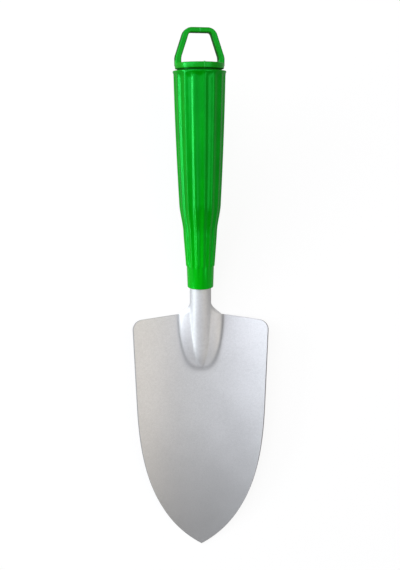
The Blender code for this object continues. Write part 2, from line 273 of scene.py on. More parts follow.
# %% Floor and world
FLOOR_RADIUS = 1.6
WALL_RADIUS = 2.2
WALL_HEIGHT = 1.25
SWEEP_STEPS = 12
SWEEP_COLUMNS = 72
FLOOR_GREY = 0.50
FLOOR_WHITE = 0.90
FLOOR_SHADOW_SHARE = 0.12
GLOSS_SHARE = 0.30
WORLD_LIGHT = 0.05


def pale_ground():
    """White for the camera, weaker for gloss, and plain grey for light that bounces."""
    made = bpy.data.materials.new("pale_ground")
    made.use_nodes = True
    tree = made.node_tree
    tree.nodes.clear()
    path = tree.nodes.new("ShaderNodeLightPath")
    names = ("Is Camera Ray", "Is Glossy Ray", "Is Transmission Ray")
    camera_ray, glossy, through = (Wire(tree, path.outputs[name]) for name in names)
    gloss = glossy.math("MAXIMUM", through)
    seen = camera_ray.math("MAXIMUM", gloss)
    white = camera_ray.math("MAXIMUM", gloss * GLOSS_SHARE) * FLOOR_WHITE
    level = between(FLOOR_GREY, FLOOR_SHADOW_SHARE, seen)
    grey = make(tree, "ShaderNodeCombineColor", {}, {"Red": level, "Green": level, "Blue": level})
    matt = make(tree, "ShaderNodeBsdfDiffuse", {}, {"Color": grey})
    glow = make(tree, "ShaderNodeEmission", {}, {"Strength": white})
    both = make(tree, "ShaderNodeAddShader", {}, {0: matt, 1: glow})
    make(tree, "ShaderNodeOutputMaterial", {}, {"Surface": both})
    return made


def sweep_mesh():
    """A round floor whose rim curves up into a wall, facing up and inwards."""
    bend = WALL_RADIUS - FLOOR_RADIUS
    turns = [math.pi / 2 * i / SWEEP_STEPS for i in range(SWEEP_STEPS + 1)]
    profile = [(FLOOR_RADIUS + bend * math.sin(a), bend * (1 - math.cos(a))) for a in turns]
    profile.append((WALL_RADIUS, WALL_HEIGHT))
    around = [2 * math.pi * i / SWEEP_COLUMNS for i in range(SWEEP_COLUMNS)]
    built = bmesh.new()
    rings = [[built.verts.new((r * math.cos(a), r * math.sin(a), z)) for a in around] for r, z in profile]
    built.faces.new(rings[0])
    for lower, upper in zip(rings, rings[1:]):
        for i in range(SWEEP_COLUMNS):
            after = (i + 1) % SWEEP_COLUMNS
            built.faces.new((lower[i], upper[i], upper[after], lower[after]))
    return mesh_of("floor", built)


floor = new_piece("floor", sweep_mesh())
floor.data.shade_smooth()
floor.data.materials.append(pale_ground())

world = bpy.data.worlds.new("studio")
world.use_nodes = True
world.node_tree.nodes["Background"].inputs["Color"].default_value = (1.0, 1.0, 1.0, 1.0)
world.node_tree.nodes["Background"].inputs["Strength"].default_value = WORLD_LIGHT
bpy.context.scene.world = world
print("the floor and its wall have", len(floor.data.polygons), "faces")

# %% [markdown]
# Lamps
#
# In the photograph the right half of the hollow blade is cool and bright and the left half is warmer and
# darker, and the handle's left flutes shine while its right side sinks into deep green. So the light comes
# mostly from the left: a long low window draws the bright lines on the flutes, and a large, slightly blue
# one stands higher, beyond the handle's end. A weak warm lamp on the right fills the blade's left half,
# which faces it, and a soft ceiling evens out the middle. The levels are kept low enough for the silver to
# keep its grey.

# %% Lamps
AIM = Vector((0.0, 0.0, 20 * MM))


def soft_lamp(name, place, width, height, watts, colour):
    """A rectangular area lamp that faces the trowel."""
    lamp = bpy.data.lights.new(name, "AREA")
    lamp.shape = "RECTANGLE"
    lamp.size = width
    lamp.size_y = height
    lamp.energy = watts
    lamp.color = colour
    thing = new_piece(name, lamp)
    thing.location = place
    thing.rotation_euler = (AIM - thing.location).to_track_quat("-Z", "Y").to_euler()
    thing.visible_camera = False
    print(name, "gives", watts, "watts over", round(width * height, 2), "square metres")


soft_lamp("window", (-0.92, 0.00, 0.33), width=1.1, height=0.16, watts=5.0, colour=(0.92, 1.0, 1.0))
soft_lamp("high_window", (-0.52, 0.42, 0.70), width=1.3, height=0.9, watts=8.5, colour=(0.87, 0.88, 0.98))
soft_lamp("warm_fill", (0.62, 0.00, 0.74), width=1.0, height=0.5, watts=2.8, colour=(1.0, 0.92, 0.80))
soft_lamp("ceiling", (0.0, 0.02, 1.10), width=0.9, height=0.9, watts=2.0, colour=(0.96, 0.98, 1.0))

# %% [markdown]
# The blade's outline
#
# The blade is one sheet. Its edge runs from a pointed tip in a long curve into a nearly straight side,
# round a shoulder corner, and in along the shoulder to the neck. Only five facts are needed: the angle at
# the tip, the pull of the curve at each end, the side's slant, the shoulder's slope and the corner's
# radius.

# %% The blade's sizes and outline
SHEET = 1.5 * MM
BLADE_LENGTH = 138.7 * MM
SHOULDER_WIDTH = 80.9 * MM
SIDE_END_WIDTH = 76.0 * MM
SIDE_END = 87.7 * MM
TIP_HALF_ANGLE = math.radians(62.3)
TIP_PULL = 39.0 * MM
SIDE_PULL = 24.0 * MM
SHOULDER_SLOPE = math.radians(8.0)
SHOULDER_CORNER_R = 6.0 * MM
FLARE_WIDTH = 24.4 * MM
OUTLINE_STEPS = 120
SHOULDER_STEPS = 24


def bezier(points, share):
    """The point at a share of a cubic curve with four control points."""
    rest = 1 - share
    weights = (rest ** 3, 3 * rest ** 2 * share, 3 * rest * share ** 2, share ** 3)
    return sum((point * weight for point, weight in zip(points, weights)), Vector((0.0, 0.0)))


def line_crossing(start, way, other, other_way):
    """The point where two lines cross, each given by a point and a direction."""
    gap = other - start
    cross = way.x * other_way.y - way.y * other_way.x
    return start + way * ((gap.x * other_way.y - gap.y * other_way.x) / cross)


def outline_runs():
    """The right half's edge in three runs: half of the tip's curve, the rest of the side, the shoulder."""
    side_end = Vector((SIDE_END_WIDTH / 2, SIDE_END))
    side_way = (Vector((SHOULDER_WIDTH / 2, BLADE_LENGTH)) - side_end).normalized()
    tip = Vector((0.0, 0.0))
    tip_way = Vector((math.sin(TIP_HALF_ANGLE), math.cos(TIP_HALF_ANGLE)))
    curve = [tip, tip + tip_way * TIP_PULL, side_end - side_way * SIDE_PULL, side_end]
    shares = [i / OUTLINE_STEPS for i in range(OUTLINE_STEPS + 1)]
    bottom = [bezier(curve, share / 2) for share in shares]
    right = [bezier(curve, (1 + share) / 2) for share in shares]
    neck_corner = Vector((FLARE_WIDTH / 2, BLADE_LENGTH))
    shoulder_way = Vector((math.cos(SHOULDER_SLOPE), -math.sin(SHOULDER_SLOPE)))
    corner = line_crossing(side_end, side_way, neck_corner, shoulder_way)
    arc = rounded(side_end, corner, neck_corner, SHOULDER_CORNER_R, SHOULDER_STEPS)
    middle = len(arc) // 2
    return bottom, right + arc[:middle + 1], [neck_corner] + arc[:middle - 1:-1]


print("the edge's three runs in mm:", [round(length_of(run) / MM, 1) for run in outline_runs()])

# %% [markdown]
# The blade's surface
#
# The height of the sheet is one formula. A shallow round hollow runs from tip to shoulders. On it stands a
# low mound, whose foot draws a U on the blade, and on the mound the wall of the neck, which climbs at the
# crank's angle. Taking the higher of two heights with a little softness leaves a fillet where they meet, as
# a press tool would. The fillet between mound and wall runs out at the mound's foot, which keeps its round
# end. Two more formulas tell the paint where the crease round the boss lies and how far a place is raised.

# %% The blade's height
DISH_R = 93.0 * MM
BOSS_LENGTH = 33.0 * MM
BOSS_WIDTH = 27.0 * MM
MOUND_HEIGHT = 4.8 * MM
MOUND_POWER = 2.8
FILLET_SOFTNESS = 1.8 * MM
CREASE_SOFTNESS = 0.5 * MM
CREASE_INSIDE = 0.2 * MM
CREASE_SIDE_REACH = 1.1 * MM
CREASE_END_REACH = 1.9 * MM
RAISED_PAINT_HEIGHT = 3.4 * MM
PROBE = 0.05 * MM
NECK_D = 12.7 * MM
NECK_MID_R = (NECK_D - SHEET) / 2
BOSS_HEIGHT = BOSS_LENGTH * math.tan(CRANK)


def soft_highest(one, other, softness):
    """The higher of two heights, with a fillet where they meet."""
    return (one + other + math.sqrt((one - other) ** 2 + softness ** 2)) / 2


def raised_height(x, along):
    """Height of the mound and the neck's wall over the hollow; it goes below zero off the boss."""
    far = (along - BLADE_LENGTH) / BOSS_LENGTH + 1
    mound = MOUND_HEIGHT * (far - abs(x / (BOSS_WIDTH / 2)) ** MOUND_POWER / (2 - far))
    across = x / NECK_MID_R
    wall = BOSS_HEIGHT * far - NECK_MID_R * (across ** 2 + across ** 6) / 2
    return soft_highest(mound, wall, FILLET_SOFTNESS * far)


def sheet_height(x, along):
    """Height of the middle of the sheet over the floor."""
    dish = DISH_R - math.sqrt(DISH_R ** 2 - x ** 2)
    return SHEET / 2 + dish + soft_highest(raised_height(x, along), 0.0, CREASE_SOFTNESS)


def crease_share(x, along):
    """1 just inside the mound's foot, where the paint gets painted shade, falling to 0 beside it."""
    height = raised_height(x, along)
    rise_across = raised_height(x + PROBE, along) - height
    rise_along = raised_height(x, along + PROBE) - height
    slope = math.hypot(rise_across, rise_along) / PROBE
    far = (along - BLADE_LENGTH) / BOSS_LENGTH + 1
    reach = between(CREASE_END_REACH, CREASE_SIDE_REACH, ease(far * 2))
    return math.exp(-((height / slope - CREASE_INSIDE) / reach) ** 2)


def raised_share(x, along):
    """0 on the hollow, rising to 1 on the boss and the neck, where the paint gets a painted highlight."""
    return 1.0 if along > BLADE_LENGTH else ease(raised_height(x, along) / RAISED_PAINT_HEIGHT)


CREST_START = Vector((0.0, BLADE_LENGTH, sheet_height(0.0, BLADE_LENGTH)))
AXIS_START = CREST_START + INTO_NECK * NECK_MID_R
print("boss height in mm:", round(CREST_START.z / MM, 2))

# %% [markdown]
# Rows of points over the blade
#
# A grid has to follow a pointed tip, a round corner and a straight neck. A Coons patch does that: it mixes
# the four edges of the half blade so that the rows bend from the tip's curve to the shoulder's line. The
# columns over the boss are spaced by the length of its section, because the same columns run on up the
# neck.

# %% The blade's grid
BOSS_COLUMNS = 28
SIDE_COLUMNS = 26
BLADE_ROWS = 120
END_CROWDING = 0.09
BOSS_SHARES = [i / BOSS_COLUMNS for i in range(BOSS_COLUMNS + 1)]


def crowded(count):
    """Shares from 0 to 1 that lie closer together near both ends."""
    even = [i / count for i in range(count + 1)]
    return [share - END_CROWDING * math.sin(2 * math.pi * share) for share in even]


def boss_section():
    """The boss's section at the shoulders, right half."""
    fine = [FLARE_WIDTH / 2 * i / OUTLINE_STEPS for i in range(OUTLINE_STEPS + 1)]
    return spaced([Vector((x, BLADE_LENGTH, sheet_height(x, BLADE_LENGTH))) for x in fine], BOSS_SHARES)


def blade_rows():
    """Rows of points over the blade's right half, from the tip to the shoulders."""
    bottom, right, top = outline_runs()
    top_row = [Vector((point.x, point.y)) for point in boss_section()]
    top_row += spaced(top, crowded(SIDE_COLUMNS)[1:])
    lengths = [(after - before).length for before, after in zip(top_row, top_row[1:])]
    across = [sum(lengths[:i]) / sum(lengths) for i in range(len(top_row))]
    up = crowded(BLADE_ROWS)
    bottom_row = spaced(bottom, across)
    right_column = spaced(right, up)
    low_left, low_right, high_left, high_right = bottom_row[0], bottom_row[-1], top_row[0], top_row[-1]
    rows = []
    for t, side in zip(up, right_column):
        middle = Vector((0.0, BLADE_LENGTH * t))
        row = []
        for e, low, high in zip(across, bottom_row, top_row):
            flat = low_left.lerp(low_right, e).lerp(high_left.lerp(high_right, e), t)
            spot = low.lerp(high, t) + middle.lerp(side, e) - flat
            row.append(Vector((spot.x, spot.y, sheet_height(spot.x, spot.y))))
        rows.append(row)
    return rows


print("the half blade has", BLADE_ROWS + 1, "rows of", BOSS_COLUMNS + SIDE_COLUMNS + 1, "points")

# %% [markdown]
# The neck
#
# Past the shoulders the boss's open section runs straight into a half tube, which is the flare, and the
# tube then closes behind, with its seam at the back. The part inside the handle is the tang. All of it is
# the same sheet, so its rows simply go on from the blade's last row.

# %% The neck's rows
SEAM_GAP = 0.7 * MM
FLARE_LENGTH = 5.4 * MM
FLARE_POWER = 1.7
BACK_OPENING = 7.0 * MM
TANG_LENGTH = 58.0 * MM
HANDLE_LENGTH = 122.05 * MM
TUBE_START = FLARE_LENGTH / math.cos(CRANK)
TANG_END = (MOUTH - Vector((0.0, TIP_Y, 0.0)) - AXIS_START).dot(AXIS) - HANDLE_LENGTH + TANG_LENGTH
NECK_HALF_ANGLE = math.pi - SEAM_GAP / (2 * NECK_MID_R)
FLARE_ROWS = 12
CLOSING_ROWS = 14
TANG_ROWS = 5


def tube_section(climb, half_angle, crowding):
    """Right half of the tube's section, from its front to half_angle round it."""
    centre = AXIS_START + AXIS * climb
    angles = [half_angle * (1 - (1 - share) ** crowding) for share in BOSS_SHARES]
    return [centre + (Vector((math.sin(a), 0.0, 0.0)) - INTO_NECK * math.cos(a)) * NECK_MID_R for a in angles]


def neck_rows():
    """Rows of points over the neck's right half: the flare, the closing back and the tang."""
    boss = boss_section()
    crowding = length_of(boss) / (NECK_MID_R * math.pi / 2)
    half_tube = tube_section(TUBE_START, math.pi / 2, crowding)
    rows = []
    for j in range(1, FLARE_ROWS + 1):
        share = j / FLARE_ROWS
        narrowing = 1 - (1 - share) ** FLARE_POWER
        shift = AXIS * TUBE_START * share
        back = AXIS * TUBE_START * (1 - share)
        rows.append([(wide + shift).lerp(narrow - back, narrowing) for wide, narrow in zip(boss, half_tube)])
    for j in range(1, CLOSING_ROWS + 1):
        share = j / CLOSING_ROWS
        half_angle = between(math.pi / 2, NECK_HALF_ANGLE, share)
        climb = TUBE_START + BACK_OPENING * share
        rows.append(tube_section(climb, half_angle, between(crowding, 1.0, share)))
    for j in range(1, TANG_ROWS + 1):
        climb = between(TUBE_START + BACK_OPENING, TANG_END, j / TANG_ROWS)
        rows.append(tube_section(climb, NECK_HALF_ANGLE, 1.0))
    return rows


print("the tang ends", round(TANG_END / MM, 1), "mm up the neck")

# %% [markdown]
# From rows to a painted sheet
#
# The rows are skinned with faces, and Solidify gives the sheet its thickness, half to each side. A narrow
# bevel then softens the cut edges: real sheet edges are never knife sharp, and the paint on them catches a
# thin line of light. Each vertex also carries four numbers for the paint: in the crease, on the rim,
# raised, and near the tip. The paint turns the crease, rim and tip numbers into painted shade, and the
# raised one into a painted highlight.

# %% Blade piece
# How far up from the tip the painted shade reaches.
TIP_SHADE_LENGTH = 95.0 * MM
EDGE_ROUND = 0.45 * MM
EDGE_ANGLE = math.radians(55.0)
EDGE_SEGMENTS = 3


def blade_sheet():
    """The blade and its neck as one skin, with notes for the paint on its vertices."""
    built = bmesh.new()
    crease = built.verts.layers.float.new("crease")
    rim = built.verts.layers.float.new("rim")
    raised = built.verts.layers.float.new("raised")
    tip_shade = built.verts.layers.float.new("tip_shade")

    def whole_row(points):
        """Vertices over the whole width; the right half's first point lies on the middle."""
        mirrored = [Vector((-point.x, point.y, point.z)) for point in points[:0:-1]]
        found = []
        for point in mirrored + points:
            vert = built.verts.new(point + Vector((0.0, TIP_Y, 0.0)))
            vert[crease] = crease_share(point.x, min(point.y, BLADE_LENGTH))
            vert[raised] = raised_share(point.x, point.y)
            # Painted shade towards the tip: 1 at the tip, falling to 0 further up the blade.
            vert[tip_shade] = 1 - ease(point.y / TIP_SHADE_LENGTH)
            found.append(vert)
        return found

    blade = [whole_row(row) for row in blade_rows()]
    middle = len(blade[-1]) // 2
    shoulders = blade[-1][:middle - BOSS_COLUMNS] + blade[-1][middle + BOSS_COLUMNS + 1:]
    for vert in blade[0] + shoulders + [row[0] for row in blade] + [row[-1] for row in blade]:
        vert[rim] = 1.0
    boss = blade[-1][middle - BOSS_COLUMNS:middle + BOSS_COLUMNS + 1]
    neck = [boss] + [whole_row(row) for row in neck_rows()]
    for rows in (blade, neck):
        for lower, upper in zip(rows, rows[1:]):
            for i in range(len(lower) - 1):
                built.faces.new((lower[i], lower[i + 1], upper[i + 1], upper[i]))
    return mesh_of("blade_sheet", built)


blade = new_piece("blade_sheet", blade_sheet())
thicken = blade.modifiers.new("thickness", "SOLIDIFY")
thicken.thickness = SHEET
thicken.offset = 0.0
thicken.use_even_offset = True
soften = blade.modifiers.new("cut_edges", "BEVEL")
soften.width = EDGE_ROUND
soften.segments = EDGE_SEGMENTS
soften.limit_method = "ANGLE"
soften.angle_limit = EDGE_ANGLE
make_plain(blade)
blade.data.shade_smooth()

# %% [markdown]
# Turned pieces with Geometry Nodes
#
# The handle and the hanger's disc and hub are turned shapes: a profile that runs round an axis. One
# Geometry Nodes tree makes both. It reads the profile's points, lays a grid with one column for each step
# round the axis, and puts each grid point where its profile point says. The flutes are part of the same
# sum: they push a point inwards by a wave that repeats round the axis, as far as the profile point's own
# "fluted" value allows.

# %% The turning tree
CREST_POWER = 1.5
MERGE_DISTANCE = 0.002 * MM


def turning_tree():
    """The Geometry Nodes tree that turns a profile, with its flutes."""
    tree = bpy.data.node_groups.new("turned_profile", "GeometryNodeTree")
    sockets = (
        ("Profile", "INPUT", "NodeSocketGeometry"),
        ("Columns", "INPUT", "NodeSocketInt"),
        ("Flutes", "INPUT", "NodeSocketFloat"),
        ("Flute Depth", "INPUT", "NodeSocketFloat"),
        ("Material", "INPUT", "NodeSocketMaterial"),
        ("Turned", "OUTPUT", "NodeSocketGeometry"),
    )
    for name, way, kind in sockets:
        tree.interface.new_socket(name, in_out=way, socket_type=kind)
    given = tree.nodes.new("NodeGroupInput")
    profile, columns, flutes, depth, finish = (Wire(tree, given.outputs[i]) for i in range(5))
    count = make(tree, "GeometryNodeAttributeDomainSize", {}, {"Geometry": profile})
    sizes = {"Size X": 1.0, "Size Y": 1.0, "Vertices X": columns + 1.0, "Vertices Y": count}
    grid = make(tree, "GeometryNodeMeshGrid", {}, sizes)
    spot = make(tree, "GeometryNodeInputPosition")
    around, up, _ = split(tree, spot)
    turn = (around + 0.5) * (2 * math.pi)
    row = ((up + 0.5) * (count - 1.0)).math("ROUND")
    sampled = {"Geometry": profile, "Value": spot, "Index": row}
    on_profile = make(tree, "GeometryNodeSampleIndex", {"data_type": "FLOAT_VECTOR"}, sampled)
    radius, _, height = split(tree, on_profile)
    named = make(tree, "GeometryNodeInputNamedAttribute", {"data_type": "FLOAT"}, {"Name": "fluted"})
    sampled = {"Geometry": profile, "Value": named, "Index": row}
    fluted = make(tree, "GeometryNodeSampleIndex", {"data_type": "FLOAT"}, sampled)
    wave = ((turn + math.pi / 2) * flutes).math("COSINE")
    crest = (1.0 - wave) * 0.5
    reach = radius - depth * fluted * (1.0 - crest ** CREST_POWER)
    parts = {"X": reach * turn.math("COSINE"), "Y": reach * turn.math("SINE"), "Z": height}
    place = make(tree, "ShaderNodeCombineXYZ", {}, parts)
    moved = make(tree, "GeometryNodeSetPosition", {}, {"Geometry": grid, "Position": place})
    closed = make(tree, "GeometryNodeMergeByDistance", {}, {"Geometry": moved, "Distance": MERGE_DISTANCE})
    real = make(tree, "GeometryNodeRealizeInstances", {}, {"Geometry": closed})
    painted = make(tree, "GeometryNodeSetMaterial", {}, {"Geometry": real, "Material": finish})
    make(tree, "NodeGroupOutput", {}, {0: painted})
    return tree


TURNING = turning_tree()
print("the turning tree has", len(TURNING.nodes), "nodes")


def turned(name, profile, columns, flutes, depth, finish, place):
    """Turn profile points (radius, height, fluted) about local Z with the tree, and place the result."""
    built = bmesh.new()
    fluted = built.verts.layers.float.new("fluted")
    for radius, height, share in profile:
        built.verts.new((radius, 0.0, height))[fluted] = share
    piece = new_piece(name, mesh_of(name, built))
    step = piece.modifiers.new("turned", "NODES")
    step.node_group = TURNING
    values = {"Columns": columns, "Flutes": float(flutes), "Flute Depth": depth, "Material": finish}
    for item in TURNING.interface.items_tree:
        if item.in_out == "INPUT" and item.name in values:
            step[item.identifier] = values[item.name]
    make_plain(piece)
    piece.data.transform(place)
    piece.data.shade_smooth()
    return piece


# %% [markdown]
# Small helpers for materials
#
# Every finish here starts as a Principled shader. The numbers that don't vary are set on the shader
# itself, and noise on object coordinates moves the others a little, so nothing depends on unwrapping. A
# few short functions do what the finishes share: they make the material, lay noise of a given size, mix
# two colours, read a note that the mesh carries on its vertices, and bend the light with a relief.

# %% Material helpers
def principled(name, constants):
    """A material with a Principled shader, its constant values set on the shader's own sockets."""
    made = bpy.data.materials.new(name)
    made.use_nodes = True
    tree = made.node_tree
    shader = tree.nodes["Principled BSDF"]
    for key, value in constants.items():
        shader.inputs[key].default_value = value
    spot = make(tree, "ShaderNodeTexCoord", {}, {}, "Object")
    return made, tree, shader, spot


def noise(tree, spot, size, detail=2.0, stretch=(1.0, 1.0, 1.0)):
    """Noise whose blobs are about as wide as size, stretched along the given axes."""
    scale = tuple(1.0 / part for part in stretch)
    mapped = make(tree, "ShaderNodeMapping", {}, {"Vector": spot, "Scale": scale})
    return make(tree, "ShaderNodeTexNoise", {}, {"Vector": mapped, "Scale": 1.0 / size, "Detail": detail})


def tinted(tree, low, high, share):
    """A colour between two, at the given share."""
    inputs = {"Factor": share, "A": low, "B": high}
    return make(tree, "ShaderNodeMix", {"data_type": "RGBA"}, inputs, "Result")


def noted(tree, name):
    """The number that the mesh carries on its vertices under a name."""
    return make(tree, "ShaderNodeAttribute", {"attribute_name": name}, {}, "Fac")


def link(tree, wire, node, name):
    """Lead a wire into one of a node's inputs."""
    tree.links.new(wire.socket, node.inputs[name])


def relief(tree, height, depth, shader):
    """Bend the light as if the surface rose by depth where height is 1."""
    bump = make(tree, "ShaderNodeBump", {}, {"Height": height, "Distance": depth, "Strength": 1.0})
    link(tree, bump, shader, "Normal")


# %% [markdown]
# Green plastic
#
# Moulded plastic looks alive through small faults: the gloss is uneven, the skin has a faint ripple that
# bends the highlights, and fine handling marks run along the grip. Noise gives all three. The grip grows
# paler towards its collar. The hanger shows its mould's parting line, a pale thread where the two halves
# met. The loop's side faces and the groove under the disc are mixed towards a dark, matt green, which is
# painted shade; its mesh carries the seam and the shade as notes.
# The gloss is tinted, because light that enters this plastic comes back green.

# %% Green plastic
PLASTIC = {"IOR": 1.49, "Metallic": 0.15, "Specular IOR Level": 0.55, "Specular Tint": (0.10, 1.0, 0.55, 1.0)}
PLASTIC_RELIEF = 0.05 * MM
PLASTIC_CLOUD_SIZE = 14 * MM
SKIN_SIZE = 0.9 * MM
RIPPLE_SIZE = 7 * MM
RIPPLE_STRETCH = (1.0, 2.5, 1.0)
MARK_SIZE = 0.35 * MM
MARK_STRETCH = (1.0, 14.0, 1.0)
GRIP_DEEP = (0.0006, 0.34, 0.001, 1.0)
GRIP_LIGHT = (0.001, 0.39, 0.002, 1.0)
GRIP_ROUGHNESS = 0.17
COLLAR_GREEN = (0.002, 0.60, 0.004, 1.0)
PALER_FROM = MOUTH.y - 63 * MM
COLLAR_GREEN_FROM = MOUTH.y - 126 * MM
HANGER_DEEP = (0.006, 0.35, 0.002, 1.0)
HANGER_LIGHT = (0.010, 0.41, 0.004, 1.0)
HANGER_ROUGHNESS = 0.22
SEAM_WIDTH = 0.42 * MM
SEAM_GREEN = (0.05, 0.55, 0.08, 1.0)
# Painted shade: a dark, matt green that the loop's side faces and the groove under the disc are mixed
# towards.
PAINTED_SHADE = {"Base Color": (0.002, 0.08, 0.002, 1.0), "Roughness": 0.8, "Specular IOR Level": 0.1}
PAINTED_SHADE_SHARE = 0.85


def green_plastic(name, deep, light, roughness, seam):
    """Moulded plastic: the grip's, which grows paler, or the hanger's, with its seam and painted shade."""
    made, tree, shader, spot = principled(name, PLASTIC)
    cloud = noise(tree, spot, PLASTIC_CLOUD_SIZE)
    skin = noise(tree, spot, SKIN_SIZE, detail=3.0)
    ripple = noise(tree, spot, RIPPLE_SIZE, detail=1.0, stretch=RIPPLE_STRETCH)
    marks = noise(tree, spot, MARK_SIZE, stretch=MARK_STRETCH)
    green = tinted(tree, deep, light, cloud.step(0.3, 0.7))
    uneven = roughness + skin * 0.06 + marks.step(0.60, 0.75) * 0.10 + cloud * 0.04
    link(tree, uneven, shader, "Roughness")
    height = ripple + skin * 0.025 - marks.step(0.62, 0.80) * 0.04
    if seam:
        line = noted(tree, "aside").math("ABSOLUTE").step(SEAM_WIDTH, SEAM_WIDTH / 3)
        green = tinted(tree, green, SEAM_GREEN, line * (0.4 + skin * 0.6))
        height = height + line * 1.5
        # Painted shade: the loop's side faces and the groove under the disc turn dark and matt.
        painted_shade_layer = make(tree, "ShaderNodeBsdfPrincipled", {}, PAINTED_SHADE)
        layers = {"Fac": noted(tree, "shade") * PAINTED_SHADE_SHARE, 1: Wire(tree, shader.outputs["BSDF"]), 2: painted_shade_layer}
        both = make(tree, "ShaderNodeMixShader", {}, layers)
        link(tree, both, tree.nodes["Material Output"], "Surface")
    else:
        _, along, _ = split(tree, spot)
        green = tinted(tree, green, COLLAR_GREEN, along.step(PALER_FROM, COLLAR_GREEN_FROM))
    link(tree, green, shader, "Base Color")
    relief(tree, height, PLASTIC_RELIEF, shader)
    return made


GRIP_GREEN = green_plastic("grip_green", GRIP_DEEP, GRIP_LIGHT, GRIP_ROUGHNESS, seam=False)
HANGER_GREEN = green_plastic("hanger_green", HANGER_DEEP, HANGER_LIGHT, HANGER_ROUGHNESS, seam=True)
for plastic in (GRIP_GREEN, HANGER_GREEN):
    print(plastic.name, "has", len(plastic.node_tree.nodes), "nodes")

# %% [markdown]
# Silver paint
#
# The blade is painted with fine metallic silver. Close up it is a field of tiny flakes that don't all face
# the same way, over a sheet that the press left very slightly uneven. Most of the look is roughness and
# bump; the colour only moves a little. Painted shade darkens the paint in the crease around the boss, along
# the cut rim and towards the tip, and the crease is also rougher. A painted highlight makes the paint paler
# on the boss and the neck, which are also a little rougher.

# %% Silver paint
PAINT = {"Metallic": 0.60, "IOR": 1.5}
PAINT_RELIEF = 0.12 * MM
PAINT_ROUGHNESS = 0.36
FLAKE_SIZE = 0.45 * MM
MOTTLE_SIZE = 1.6 * MM
PAINT_CLOUD_SIZE = 22 * MM
PAINT_DARK = (0.61, 0.615, 0.625, 1.0)
PAINT_LIGHT = (0.765, 0.77, 0.785, 1.0)
# Colours of the painted highlight on the boss and neck, and of the painted shade at the tip, crease and rim.
PAINTED_HIGHLIGHT = (0.88, 0.89, 0.91, 1.0)
PAINTED_TIP_SHADE = (0.36, 0.36, 0.36, 1.0)
PAINTED_SHADE_GREY = (0.33, 0.33, 0.34, 1.0)


def silver_paint():
    """Metallic paint: painted shade from the crease, rim and tip notes, a painted highlight from the raised
    one.
    """
    made, tree, shader, spot = principled("silver_paint", PAINT)
    flakes = noise(tree, spot, FLAKE_SIZE)
    mottle = noise(tree, spot, MOTTLE_SIZE, detail=3.0)
    cloud = noise(tree, spot, PAINT_CLOUD_SIZE)
    crease, rim, raised, tip_shade = (noted(tree, name) for name in ("crease", "rim", "raised", "tip_shade"))
    share = (flakes * 0.5 + mottle * 0.25 + cloud * 0.25).step(0.25, 0.75)
    paint = tinted(tree, PAINT_DARK, PAINT_LIGHT, share)
    # Painted highlight: the boss and the neck are made paler.
    paint = tinted(tree, paint, PAINTED_HIGHLIGHT, raised * (0.3 + mottle * 0.7))
    # Painted shade: the paint darkens towards the tip.
    paint = tinted(tree, paint, PAINTED_TIP_SHADE, tip_shade * (0.45 + mottle * 0.2))
    # Painted shade: the paint darkens in the crease round the boss and along the cut rim.
    crease_and_rim_shade = (crease * (0.3 + mottle * 0.6)).math("MAXIMUM", rim * 0.45)
    link(tree, tinted(tree, paint, PAINTED_SHADE_GREY, crease_and_rim_shade), shader, "Base Color")
    uneven = PAINT_ROUGHNESS + flakes * 0.10 + crease * 0.45 + raised * 0.14 + cloud * 0.05
    link(tree, uneven, shader, "Roughness")
    relief(tree, cloud + mottle * 0.10 + flakes * 0.05, PAINT_RELIEF, shader)
    return made


blade.data.materials.append(silver_paint())
print("silver_paint has", len(blade.data.materials[0].node_tree.nodes), "nodes")
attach(blade, "tool")
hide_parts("blade")

# %% [markdown]
# The handle
#
# The handle is a straight, slightly swelling grip that draws in to a waist and ends in a smooth collar.
# Sixteen flutes run along it. They stop at the collar in blunt ends and fade out softly below a narrow
# plain rim. The moulding is hollow: the tang's bore comes in from below, a web stops the tang, and a lip at
# the mouth holds the hanger. One closed profile describes all of that, inside and outside.

# %% Handle profile
RIM_D = 29.4 * MM
GRIP_TOP_D = 29.0 * MM
GRIP_LOW_D = 24.4 * MM
GRIP_LOW_AT = 51.0 * MM
GRIP_CROWN = 0.3 * MM
WAIST_D = 19.8 * MM
WAIST_AT = 32.0 * MM
FLUTES_END_D = 17.1 * MM
COLLAR_TOP_D = 16.0 * MM
COLLAR_D = 15.3 * MM
COLLAR_LENGTH = 13.3 * MM
FLUTE_RUN_OUT = 0.8 * MM
FLUTES = 16
FLUTE_DEPTH = 0.6 * MM
RIM_BAND = 1.2 * MM
RIM_ROUND = 0.4 * MM
HANDLE_WALL = 2.9 * MM
CLEARANCE = 0.3 * MM
STOP_THICKNESS = 2.4 * MM
STOP_HOLE_D = 8.0 * MM
LIP_HEIGHT = 3.2 * MM
LIP_CATCH = 0.8 * MM
BORE_R = NECK_D / 2 + CLEARANCE
STOP_AT = TANG_LENGTH + CLEARANCE
MOUTH_R = GRIP_TOP_D / 2 - FLUTE_DEPTH - HANDLE_WALL
LIP_R = MOUTH_R - LIP_CATCH
TOP_FADE = 0.9 * MM
GRIP_STATIONS = 72
ROUND_STEPS = 4
COLUMNS_PER_FLUTE = 12
SHARP_ANGLE = math.radians(38.0)


def grip_radius(at):
    """Radius over the flutes' crests at a distance from the handle's lower end."""
    if at >= GRIP_LOW_AT:
        share = (at - GRIP_LOW_AT) / (HANDLE_LENGTH - GRIP_LOW_AT)
        return between(GRIP_LOW_D, GRIP_TOP_D, share) / 2 + GRIP_CROWN * 4 * share * (1 - share)
    if at <= WAIST_AT:
        share = (at - COLLAR_LENGTH) / (WAIST_AT - COLLAR_LENGTH)
        return between(FLUTES_END_D, WAIST_D, share) / 2
    share = (at - WAIST_AT) / (GRIP_LOW_AT - WAIST_AT)
    return between(WAIST_D, GRIP_LOW_D, ease(share)) / 2


